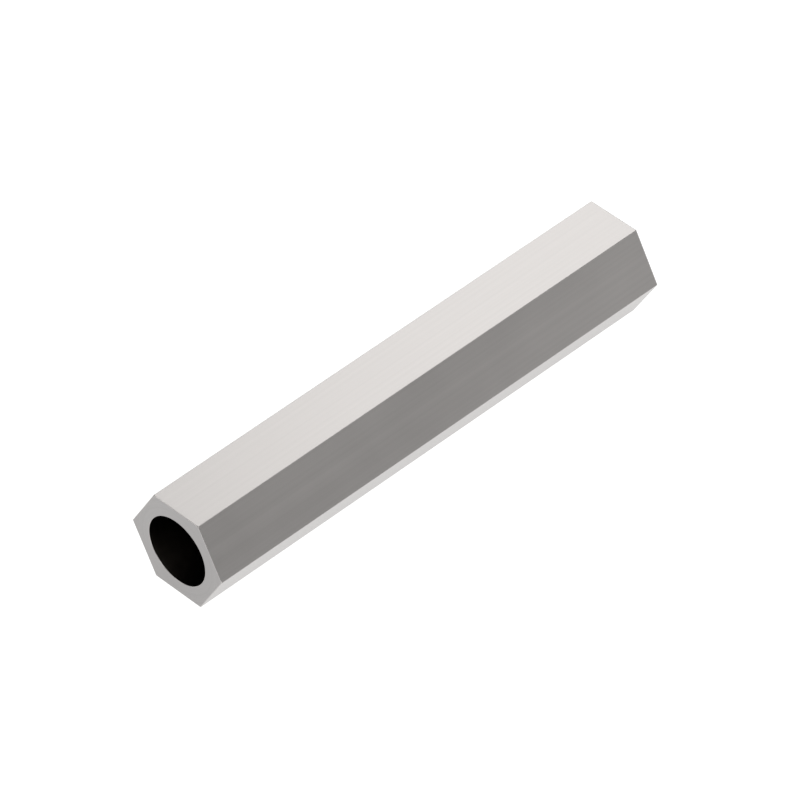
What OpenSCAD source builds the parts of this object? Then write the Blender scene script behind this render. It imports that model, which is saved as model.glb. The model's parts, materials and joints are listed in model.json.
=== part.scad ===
// Hexagonal standoff: a length of drawn hexagon bar with a plain clearance bore right through it.
// It lies on one flat, with the bore along X and the middle of that flat at the origin.

/* [Hexagon] */
// Distance across two opposite flats
across_flats = 8; // [7:0.5:14]
// Width of the narrow land that breaks each long corner
corner_land = 0.04; // [0.02:0.02:0.6]

/* [Length] */
// Distance between the two end faces
length = 45; // [10:1:120]
// Leg of the 45 degree break round the rim of each end face
end_break = 0.05; // [0.01:0.01:0.4]

/* [Bore] */
// Diameter of the clearance bore
bore_d = 5.8; // [2:0.1:6.8]
// Leg of the 45 degree break at each mouth of the bore
mouth_break = 0.04; // [0.01:0.01:0.4]

/* [Hidden] */
$fn = 128;

steel_colour = [0.80, 0.78, 0.77];

// Height of the bore's centre line above the flat that the bar lies on
axis_z = across_flats / 2;
// Distance between two opposite corner lands, across the corners less what the lands take off
across_lands = (2 * across_flats - corner_land) / sqrt(3);
// Sideways extent of a slab, clear of every corner
slab_w = 2 * across_flats;
// Faces of the section, flats and lands in turn, and the angle from one to the next
face_pairs = 6;
face_turn = 180 / face_pairs;

// How far the bore's cutter runs past each end face
overrun = 1;
bore_r = bore_d / 2;
// Half the length of the straight wall between the two broken mouths
wall_half = length / 2 - mouth_break;
cutter_half = length / 2 + overrun;
cutter_mouth_r = bore_r + mouth_break + overrun;

// Side view of the bar between two opposite faces, with its four end corners broken
module broken_outline(apart) {
    x = length / 2;
    z = apart / 2;
    polygon([
        [-x, z - end_break],
        [-x + end_break, z],
        [x - end_break, z],
        [x, z - end_break],
        [x, end_break - z],
        [x - end_break, -z],
        [end_break - x, -z],
        [-x, end_break - z],
    ]);
}

// Slab that holds one pair of opposite faces and the breaks at their ends
module face_pair(apart) {
    rotate([90, 0, 0])
        linear_extrude(height = slab_w, center = true)
            broken_outline(apart);
}

// Drawn bar: three pairs of flats and three pairs of corner lands that bound one another
module hexagon_bar() {
    intersection_for (i = [0 : face_pairs - 1])
        rotate([i * face_turn, 0, 0])
            face_pair(i % 2 == 0 ? across_flats : across_lands);
}

// Half section of the bore: a straight wall that flares at 45 degrees through each mouth
module bore_section() {
    polygon([
        [0, -cutter_half],
        [cutter_mouth_r, -cutter_half],
        [bore_r, -wall_half],
        [bore_r, wall_half],
        [cutter_mouth_r, cutter_half],
        [0, cutter_half],
    ]);
}

module clearance_bore() {
    rotate([0, 90, 0])
        rotate_extrude()
            bore_section();
}

module hex_standoff() {
    color(steel_colour)
        translate([0, 0, axis_z])
            difference() {
                hexagon_bar();
                clearance_bore();
            }
}

hex_standoff();
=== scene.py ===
"""A hexagonal stainless steel standoff, bored right through, lying on one flat on a light table."""

import json
import math

import bmesh
import bpy
from bpy.props import FloatProperty, FloatVectorProperty, IntProperty, PointerProperty
from mathutils import Matrix, Vector


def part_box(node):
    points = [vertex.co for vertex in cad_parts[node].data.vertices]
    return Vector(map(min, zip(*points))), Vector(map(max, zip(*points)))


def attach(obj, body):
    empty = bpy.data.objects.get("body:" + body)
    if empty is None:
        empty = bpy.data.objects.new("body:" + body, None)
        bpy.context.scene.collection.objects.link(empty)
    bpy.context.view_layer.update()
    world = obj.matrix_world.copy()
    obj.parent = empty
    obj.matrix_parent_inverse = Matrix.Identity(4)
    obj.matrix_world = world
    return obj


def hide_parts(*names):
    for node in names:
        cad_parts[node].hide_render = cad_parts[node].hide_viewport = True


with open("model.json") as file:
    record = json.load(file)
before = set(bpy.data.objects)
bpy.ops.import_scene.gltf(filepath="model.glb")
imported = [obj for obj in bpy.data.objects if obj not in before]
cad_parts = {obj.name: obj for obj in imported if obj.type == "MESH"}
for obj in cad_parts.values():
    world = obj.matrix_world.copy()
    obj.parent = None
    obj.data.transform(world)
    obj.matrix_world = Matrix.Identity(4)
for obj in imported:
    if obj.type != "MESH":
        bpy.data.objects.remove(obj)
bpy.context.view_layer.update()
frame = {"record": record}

bl_info = {
    "name": "Hex Standoff",
    "version": (1, 0, 0),
    "blender": (4, 5, 0),
    "location": "View3D > Sidebar > Standoff",
    "description": "Models a drawn and bored hexagon standoff and the light table it lies on",
    "category": "Add Mesh",
}

NODE = "hex_standoff"
MM = 0.001
SIDES = 6
# Angle about the axis from the middle of a flat to its corner
HALF_SIDE = math.pi / SIDES
# An edge that turns by more than this is sharp
SHARP = math.radians(45)
# Slack in telling whether a face lies square to the bar or along it
SLACK = 0.001


def linear(hex_colour):
    """Turns an sRGB hex colour into the linear values that shaders take."""
    channels = [int(hex_colour[i : i + 2], 16) / 255 for i in (1, 3, 5)]
    return tuple(c / 12.92 if c <= 0.04045 else ((c + 0.055) / 1.055) ** 2.4 for c in channels)


def cad_sizes():
    """Length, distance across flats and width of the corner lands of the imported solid."""
    low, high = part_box(NODE)
    across_flats = high.z - low.z
    across_corners = across_flats / math.cos(HALF_SIDE)
    across_lands = high.y - low.y
    corner_land = (across_corners - across_lands) / math.tan(HALF_SIDE)
    return high.x - low.x, across_flats, corner_land


def stated_bore():
    """Diameter of the bore and length of its straight wall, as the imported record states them."""
    mounts = frame["record"]["mounts"]
    bore = next(mount for mount in mounts if mount["name"] == "clearance_bore")
    return 2 * bore["dims"]["r_mm"] * MM, bore["dims"]["length_mm"] * MM


LENGTH, ACROSS_FLATS, CORNER_LAND = cad_sizes()
BORE, WALL = stated_bore()


class StandoffSizes(bpy.types.PropertyGroup):
    """Sizes of the bar, its bore and its broken edges."""

    length: FloatProperty(
        name="Length", description="Distance between the end faces",
        default=LENGTH, unit="LENGTH",
    )
    across_flats: FloatProperty(
        name="Across flats", description="Distance between opposite flats",
        default=ACROSS_FLATS, unit="LENGTH",
    )
    bore: FloatProperty(
        name="Bore", description="Diameter of the clearance bore",
        default=BORE, unit="LENGTH",
    )
    corner_land: FloatProperty(
        name="Corner land", description="Width of the narrow land that breaks each long corner",
        default=CORNER_LAND, unit="LENGTH",
    )
    rim_break: FloatProperty(
        name="Rim break", description="Rounding round each end face",
        default=0.05 * MM, unit="LENGTH",
    )
    mouth_break: FloatProperty(
        name="Mouth break", description="Rounding at each mouth of the bore",
        default=(LENGTH - WALL) / 2, unit="LENGTH",
    )
    flat_steps: IntProperty(
        name="Flat steps", description="Faces across each flat, which also set the facets of the bore",
        default=19, min=1,
    )
    break_steps: IntProperty(
        name="Break steps", description="Faces round each broken edge",
        default=3, min=1,
    )


class SteelFinishes(bpy.types.PropertyGroup):
    """Colour and roughness of the steel as each way of working leaves it, with the bore wall's colour
    darkened as painted shade.
    """

    drawn_colour: FloatVectorProperty(
        name="Flats", description="Colour of the cold drawn and tumbled flats",
        subtype="COLOR", default=linear("#adaaa8"),
    )
    drawn_roughness: FloatProperty(
        name="Flats' roughness", description="Roughness that drawing and tumbling leave",
        subtype="FACTOR", default=0.30, min=0, max=1,
    )
    faced_colour: FloatVectorProperty(
        name="End faces", description="Colour of the ends, cut by the facing tool",
        subtype="COLOR", default=linear("#9c9a99"),
    )
    faced_roughness: FloatProperty(
        name="End faces' roughness", description="Roughness that the facing tool leaves",
        subtype="FACTOR", default=0.32, min=0, max=1,
    )
    # Painted shade: the bore wall's colour is darkened to stand for the shade deep inside the bore
    painted_shade_bore_colour: FloatVectorProperty(
        name="Bore wall", description="Colour of the reamed wall, darkened as painted shade",
        subtype="COLOR", default=linear("#7d7a77"),
    )
    reamed_roughness: FloatProperty(
        name="Bore wall's roughness", description="Roughness that the reamer leaves",
        subtype="FACTOR", default=0.14, min=0, max=1,
    )
    burnished_colour: FloatVectorProperty(
        name="Broken edges", description="Colour of the rims and mouths, rubbed bright in the tumbler",
        subtype="COLOR", default=linear("#b2afad"),
    )
    burnished_roughness: FloatProperty(
        name="Broken edges' roughness", description="Roughness that the rubbing leaves",
        subtype="FACTOR", default=0.28, min=0, max=1,
    )


class SteelMarks(bpy.types.PropertyGroup):
    """Sizes and strength of the marks that each way of working leaves."""

    die_line: FloatProperty(
        name="Die line", description="Width of a line that the drawing die left",
        default=0.25 * MM, unit="LENGTH",
    )
    die_run: FloatProperty(
        name="Die run", description="Length over which a die line comes and goes",
        default=60 * MM, unit="LENGTH",
    )
    facing_ring: FloatProperty(
        name="Facing ring", description="Spacing of the rings on the end faces",
        default=0.16 * MM, unit="LENGTH",
    )
    reamer_ring: FloatProperty(
        name="Reamer ring", description="Spacing of the rings along the bore",
        default=0.3 * MM, unit="LENGTH",
    )
    cloud: FloatProperty(
        name="Cloud", description="Size of the faint patches that every surface has",
        default=6 * MM, unit="LENGTH",
    )
    line_share: FloatProperty(
        name="Line share", description="Share of lines in the marks on the flats, the rest clouds",
        subtype="FACTOR", default=0.6, min=0, max=1,
    )
    ring_share: FloatProperty(
        name="Ring share", description="Share of rings in the marks on ends and bore, the rest clouds",
        subtype="FACTOR", default=0.8, min=0, max=1,
    )
    tone: FloatProperty(
        name="Tone", description="How far the marks move the colour to either side, as a share of it",
        subtype="FACTOR", default=0.05, min=0, max=1,
    )
    gloss: FloatProperty(
        name="Gloss", description="How far the marks move the roughness to either side",
        subtype="FACTOR", default=0.012, min=0, max=1,
    )
    relief: FloatProperty(
        name="Relief", description="Height of the marks",
        default=0.0004 * MM, unit="LENGTH",
    )


class StudioSettings(bpy.types.PropertyGroup):
    """Camera and light of the stage."""

    azimuth: FloatProperty(
        name="Azimuth", description="Camera's turn about the vertical",
        subtype="ANGLE", default=math.radians(-44.95),
    )
    elevation: FloatProperty(
        name="Elevation", description="Camera's height above the horizon",
        subtype="ANGLE", default=math.radians(42.83),
    )
    distance: FloatProperty(
        name="Distance", description="From the camera to the middle of the bar",
        default=497 * MM, unit="LENGTH",
    )
    lens: FloatProperty(
        name="Lens", description="Focal length",
        default=306, unit="CAMERA",
    )
    table_radius: FloatProperty(
        name="Table radius", description="Radius of the round light table",
        default=1.5, unit="LENGTH",
    )
    table_colour: FloatVectorProperty(
        name="Table colour", description="Opal acrylic, without the light behind it",
        subtype="COLOR", default=linear("#909090"),
    )
    table_glow: FloatProperty(
        name="Table glow", description="Light that comes up through the table",
        default=0.95,
    )
    horizon: FloatProperty(
        name="Horizon", description="Brightness of the room at the level of the table",
        default=0.22,
    )
    zenith: FloatProperty(
        name="Zenith", description="Brightness of the room overhead",
        default=0.9,
    )
    softbox_distance: FloatProperty(
        name="Softbox distance", description="From each softbox to the middle of the bar",
        default=0.6, unit="LENGTH",
    )


def add_node(tree, kind, inputs=None, **settings):
    """Adds a node, sets its properties, and links or fills its inputs, given by name or number."""
    node = tree.nodes.new(kind)
    for name, value in settings.items():
        setattr(node, name, value)
    for name, value in (inputs or {}).items():
        if isinstance(value, bpy.types.NodeSocket):
            tree.links.new(value, node.inputs[name])
        else:
            node.inputs[name].default_value = value
    return node


def new_material(name):
    """An empty node material and its tree."""
    material = bpy.data.materials.new(name)
    material.use_nodes = True
    material.node_tree.nodes.clear()
    return material, material.node_tree


# Noise keeps mostly between these two values, so they are spread to the full range
NOISE_LOW = 0.3
NOISE_HIGH = 0.7


def spread_noise(tree, inputs, dimensions):
    """Noise from 0 to 1 whose bumps are about one unit wide."""
    noise = add_node(
        tree, "ShaderNodeTexNoise", {**inputs, "Scale": 1.0, "Detail": 2.0}, noise_dimensions=dimensions
    )
    spread = add_node(tree, "ShaderNodeMapRange", {
        "Value": noise.outputs[0], "From Min": NOISE_LOW, "From Max": NOISE_HIGH,
    })
    return spread.outputs["Result"]


def marks_of_size(tree, along, across):
    """Marks that have one size along the bar and another across it."""
    place = add_node(tree, "ShaderNodeTexCoord")
    mapping = add_node(tree, "ShaderNodeMapping", {
        "Vector": place.outputs["Object"], "Scale": (1 / along, 1 / across, 1 / across),
    })
    return spread_noise(tree, {"Vector": mapping.outputs["Vector"]}, "3D")


def rings_of_size(tree, distance, spacing):
    """Marks that change only with one distance, as the rings that a turning tool cuts."""
    turns = add_node(tree, "ShaderNodeMath", {0: distance, 1: spacing}, operation="DIVIDE")
    return spread_noise(tree, {"W": turns.outputs[0]}, "1D")


def clouded(tree, fine_marks, share, cloud):
    """Fine marks that take up a share of the whole, over faint clouds of one size."""
    clouds = marks_of_size(tree, cloud, cloud)
    # A mix of numbers takes its factor on socket 0 and its two sides on 2 and 3
    both = add_node(tree, "ShaderNodeMix", {0: share, 2: clouds, 3: fine_marks}, data_type="FLOAT")
    return both.outputs[0]


def finish_steel(tree, pattern, colour, roughness, marks):
    """Steel that is darker and glossier in the valleys of its marks than on their tops."""
    valley = (*(c * (1 - marks.tone) for c in colour), 1)
    top = (*(c * (1 + marks.tone) for c in colour), 1)
    # A mix of colours takes its factor on socket 0 and its two sides on 6 and 7
    tone = add_node(tree, "ShaderNodeMix", {0: pattern, 6: valley, 7: top}, data_type="RGBA")
    gloss = add_node(tree, "ShaderNodeMapRange", {
        "Value": pattern, "To Min": roughness - marks.gloss, "To Max": roughness + marks.gloss,
    })
    bump = add_node(tree, "ShaderNodeBump", {"Height": pattern, "Distance": marks.relief})
    bsdf = add_node(tree, "ShaderNodeBsdfPrincipled", {
        "Base Color": tone.outputs[2], "Metallic": 1.0,
        "Roughness": gloss.outputs["Result"], "Normal": bump.outputs["Normal"],
    })
    add_node(tree, "ShaderNodeOutputMaterial", {"Surface": bsdf.outputs["BSDF"]})


def cold_drawn_steel(scene):
    """Bar pulled through a die and tumbled: a warm even satin with faint lines along its length."""
    finishes, marks = scene.standoff_finishes, scene.standoff_marks
    material, tree = new_material("cold drawn stainless steel")
    # Real die lines are about 0.03 mm wide and too fine to show, so they are drawn broader
    lines = marks_of_size(tree, marks.die_run, marks.die_line)
    pattern = clouded(tree, lines, marks.line_share, marks.cloud)
    finish_steel(tree, pattern, finishes.drawn_colour, finishes.drawn_roughness, marks)
    return material


def lathe_faced_steel(scene):
    """Ends cut square on a lathe: fine rings about the bore, a shade duller than the flats."""
    finishes, marks = scene.standoff_finishes, scene.standoff_marks
    material, tree = new_material("lathe faced stainless steel")
    place = add_node(tree, "ShaderNodeTexCoord")
    to_axis = (0, 0, -scene.standoff_sizes.across_flats / 2)
    section = add_node(tree, "ShaderNodeMapping", {
        "Vector": place.outputs["Object"], "Scale": (0, 1, 1), "Location": to_axis,
    })
    radius = add_node(tree, "ShaderNodeVectorMath", {0: section.outputs["Vector"]}, operation="LENGTH")
    # The tool feeds about 0.06 mm a turn, which is too fine to show, so the rings are drawn wider
    rings = rings_of_size(tree, radius.outputs["Value"], marks.facing_ring)
    pattern = clouded(tree, rings, marks.ring_share, marks.cloud)
    finish_steel(tree, pattern, finishes.faced_colour, finishes.faced_roughness, marks)
    return material


def reamed_steel(scene):
    """Bore reamed smooth: it mirrors only its own depths, so it looks black from outside; its colour is
    also darkened as painted shade.
    """
    finishes, marks = scene.standoff_finishes, scene.standoff_marks
    material, tree = new_material("reamed stainless steel with painted shade")
    place = add_node(tree, "ShaderNodeTexCoord")
    depth = add_node(tree, "ShaderNodeSeparateXYZ", {"Vector": place.outputs["Object"]})
    rings = rings_of_size(tree, depth.outputs["X"], marks.reamer_ring)
    pattern = clouded(tree, rings, marks.ring_share, marks.cloud)
    # The bore wall's colour carries painted shade
    finish_steel(tree, pattern, finishes.painted_shade_bore_colour, finishes.reamed_roughness, marks)
    return material


def burnished_steel(scene):
    """Rims and mouths rubbed in the tumbler: a thin brighter line."""
    finishes, marks = scene.standoff_finishes, scene.standoff_marks
    material, tree = new_material("burnished stainless steel")
    pattern = marks_of_size(tree, marks.cloud, marks.cloud)
    finish_steel(tree, pattern, finishes.burnished_colour, finishes.burnished_roughness, marks)
    return material


# Order of the finishes on the piece's material slots
FINISHES = (cold_drawn_steel, lathe_faced_steel, reamed_steel, burnished_steel)
DRAWN, FACED, REAMED, BURNISHED = range(len(FINISHES))


def bar_section(bm, sizes):
    """Flat ring between the hexagon and the bore, with as many points on each."""
    across_corners = sizes.across_flats / math.cos(HALF_SIDE)
    hexagon = bmesh.ops.create_circle(bm, cap_ends=True, segments=SIDES, radius=across_corners / 2)
    setback = sizes.corner_land / (2 * math.cos(HALF_SIDE))
    bmesh.ops.bevel(
        bm, geom=hexagon["verts"], offset=setback, offset_type="OFFSET", affect="VERTICES",
        segments=1, profile=0.5, material=-1,
    )
    flats = sorted(bm.edges, key=lambda edge: -edge.calc_length())[:SIDES]
    bmesh.ops.subdivide_edges(bm, edges=flats, cuts=sizes.flat_steps - 1)
    bmesh.ops.delete(bm, geom=bm.faces[:], context="FACES_ONLY")
    facets = len(bm.edges)
    bmesh.ops.create_circle(bm, cap_ends=False, segments=facets, radius=sizes.bore / 2)
    return bmesh.ops.bridge_loops(bm, edges=bm.edges[:])["faces"]


def break_edges(bm, edges, size, steps):
    """Rounds the given sharp edges by one size."""
    bmesh.ops.bevel(
        bm, geom=edges, offset=size, offset_type="OFFSET", affect="EDGES",
        segments=steps, profile=0.5, material=-1,
    )


def standoff_mesh(sizes):
    """The whole bar along X: the section drawn out to length, then its rims and mouths broken."""
    bm = bmesh.new()
    section = bar_section(bm, sizes)
    drawn = bmesh.ops.extrude_face_region(bm, geom=section)["geom"]
    far_end = [item for item in drawn if isinstance(item, bmesh.types.BMVert)]
    bmesh.ops.translate(bm, verts=far_end, vec=(0, 0, sizes.length))
    bmesh.ops.recalc_face_normals(bm, faces=bm.faces[:])

    # Radius midway through the wall, which parts the mouths' edges from the rims'
    mid_wall = (sizes.bore + sizes.across_flats) / 4
    sharp = [edge for edge in bm.edges if edge.calc_face_angle() > SHARP]
    mouths = [edge for edge in sharp if edge.verts[0].co.xy.length < mid_wall]
    rims = [edge for edge in sharp if edge.verts[0].co.xy.length > mid_wall]
    break_edges(bm, rims, sizes.rim_break, sizes.break_steps)
    break_edges(bm, mouths, sizes.mouth_break, sizes.break_steps)

    to_place = Matrix.Translation((-sizes.length / 2, 0, sizes.across_flats / 2))
    lie_down = Matrix.Rotation(math.pi / 2, 4, "Y")
    bmesh.ops.transform(bm, matrix=to_place @ lie_down, verts=bm.verts[:])
    return bm


def finish_of(face, sizes):
    """Which way of working left this face: facing, burnishing, reaming or drawing."""
    along = abs(face.normal.x)
    if along > 1 - SLACK:
        return FACED
    if along > SLACK:
        return BURNISHED
    from_axis = face.calc_center_median() - Vector((0, 0, sizes.across_flats / 2))
    return REAMED if from_axis.dot(face.normal) < 0 else DRAWN


class STANDOFF_OT_make_standoff(bpy.types.Operator):
    """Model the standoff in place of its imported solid"""

    bl_idname = "standoff.make_standoff"
    bl_label = "Make the standoff"

    def execute(self, context):
        scene = context.scene
        sizes = scene.standoff_sizes
        bm = standoff_mesh(sizes)
        for face in bm.faces:
            face.material_index = finish_of(face, sizes)
            face.smooth = face.material_index in (REAMED, BURNISHED)
        mesh = bpy.data.meshes.new("standoff")
        bm.to_mesh(mesh)
        bm.free()
        for finish in FINISHES:
            mesh.materials.append(finish(scene))
        piece = bpy.data.objects.new("standoff", mesh)
        scene.collection.objects.link(piece)
        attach(piece, "root")
        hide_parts(NODE)
        return {"FINISHED"}


# Softboxes round the bar: azimuth and elevation in degrees, width in metres, and radiance
SOFTBOXES = {
    "back_softbox": (131, 42, 0.19, 2.0),
    "right_softbox": (54, 15, 0.31, 1.0),
    "front_softbox": (0, 45, 0.30, 1.2),
    "left_softbox": (225, 40, 0.30, 1.4),
    "near_softbox": (315, 40, 0.30, 1.2),
}
TABLE_SIDES = 96
WHITE = (1, 1, 1, 1)


def on_sky(azimuth, elevation, distance):
    """Place at an azimuth, elevation and distance, with azimuth 0 in front of the bar."""
    flat = math.cos(elevation)
    return distance * Vector((math.sin(azimuth) * flat, -math.cos(azimuth) * flat, math.sin(elevation)))


def set_on_sky(scene, thing, azimuth, elevation, distance):
    """Adds a lamp or camera to the scene, out on the sky and facing the middle of the bar."""
    middle = Vector((0, 0, scene.standoff_sizes.across_flats / 2))
    thing.location = middle + on_sky(azimuth, elevation, distance)
    thing.rotation_euler = (middle - thing.location).to_track_quat("-Z", "Y").to_euler()
    scene.collection.objects.link(thing)


def lay_table(scene, studio):
    """A round matt sheet of opal acrylic lit from below, which leaves hardly any shadow."""
    bm = bmesh.new()
    bmesh.ops.create_circle(bm, cap_ends=True, segments=TABLE_SIDES, radius=studio.table_radius)
    mesh = bpy.data.meshes.new("light_table")
    bm.to_mesh(mesh)
    bm.free()
    material, tree = new_material("opal acrylic")
    bsdf = add_node(tree, "ShaderNodeBsdfPrincipled", {
        "Base Color": (*studio.table_colour, 1), "Specular IOR Level": 0.0,
        "Emission Color": WHITE, "Emission Strength": studio.table_glow,
    })
    add_node(tree, "ShaderNodeOutputMaterial", {"Surface": bsdf.outputs["BSDF"]})
    mesh.materials.append(material)
    table = bpy.data.objects.new("light_table", mesh)
    scene.collection.objects.link(table)


def light_room(scene, studio):
    """A dim room that grows brighter towards its ceiling."""
    world = bpy.data.worlds.new("studio")
    world.use_nodes = True
    tree = world.node_tree
    tree.nodes.clear()
    place = add_node(tree, "ShaderNodeTexCoord")
    direction = add_node(tree, "ShaderNodeSeparateXYZ", {"Vector": place.outputs["Generated"]})
    glow = add_node(tree, "ShaderNodeMapRange", {
        "Value": direction.outputs["Z"], "To Min": studio.horizon, "To Max": studio.zenith,
    })
    sky = add_node(tree, "ShaderNodeBackground", {"Color": WHITE, "Strength": glow.outputs["Result"]})
    add_node(tree, "ShaderNodeOutputWorld", {"Surface": sky.outputs["Background"]})
    scene.world = world


def hang_softboxes(scene, studio):
    """Square lamps round the bar that show in its reflections, but not to the camera."""
    for name, (azimuth, elevation, width, radiance) in SOFTBOXES.items():
        lamp = bpy.data.lights.new(name, "AREA")
        lamp.size = width
        # Power at which a flat lamp of this size has that radiance
        lamp.energy = radiance * math.pi * width * width
        softbox = bpy.data.objects.new(name, lamp)
        softbox.visible_camera = False
        set_on_sky(
            scene, softbox, math.radians(azimuth), math.radians(elevation), studio.softbox_distance
        )


def set_camera(scene, studio):
    """A long lens at the photograph's angle, and tones that are shown as they are."""
    camera = bpy.data.objects.new("camera", bpy.data.cameras.new("camera"))
    camera.data.lens = studio.lens
    set_on_sky(scene, camera, studio.azimuth, studio.elevation, studio.distance)
    scene.camera = camera
    scene.view_settings.view_transform = "Standard"


class STANDOFF_OT_set_stage(bpy.types.Operator):
    """Set the light table, the room, the softboxes and the camera"""

    bl_idname = "standoff.set_stage"
    bl_label = "Set the stage"

    def execute(self, context):
        scene = context.scene
        studio = scene.standoff_studio
        lay_table(scene, studio)
        light_room(scene, studio)
        hang_softboxes(scene, studio)
        set_camera(scene, studio)
        return {"FINISHED"}


class STANDOFF_PT_panel(bpy.types.Panel):
    """Sizes, finishes, marks and light of the standoff"""

    bl_idname = "STANDOFF_PT_panel"
    bl_label = "Hex standoff"
    bl_space_type = "VIEW_3D"
    bl_region_type = "UI"
    bl_category = "Standoff"

    def draw(self, context):
        layout = self.layout
        for name, group in GROUPS.items():
            box = layout.box()
            for setting in group.__annotations__:
                box.prop(getattr(context.scene, name), setting)
        layout.operator("standoff.make_standoff")
        layout.operator("standoff.set_stage")


GROUPS = {
    "standoff_sizes": StandoffSizes,
    "standoff_finishes": SteelFinishes,
    "standoff_marks": SteelMarks,
    "standoff_studio": StudioSettings,
}
CLASSES = (*GROUPS.values(), STANDOFF_OT_make_standoff, STANDOFF_OT_set_stage, STANDOFF_PT_panel)


def register():
    for cls in CLASSES:
        bpy.utils.register_class(cls)
    for name, group in GROUPS.items():
        setattr(bpy.types.Scene, name, PointerProperty(type=group))


def unregister():
    for name in GROUPS:
        delattr(bpy.types.Scene, name)
    for cls in reversed(CLASSES):
        bpy.utils.unregister_class(cls)


def main():
    register()
    bpy.ops.standoff.make_standoff()
    bpy.ops.standoff.set_stage()


if __name__ == "__main__":
    main()
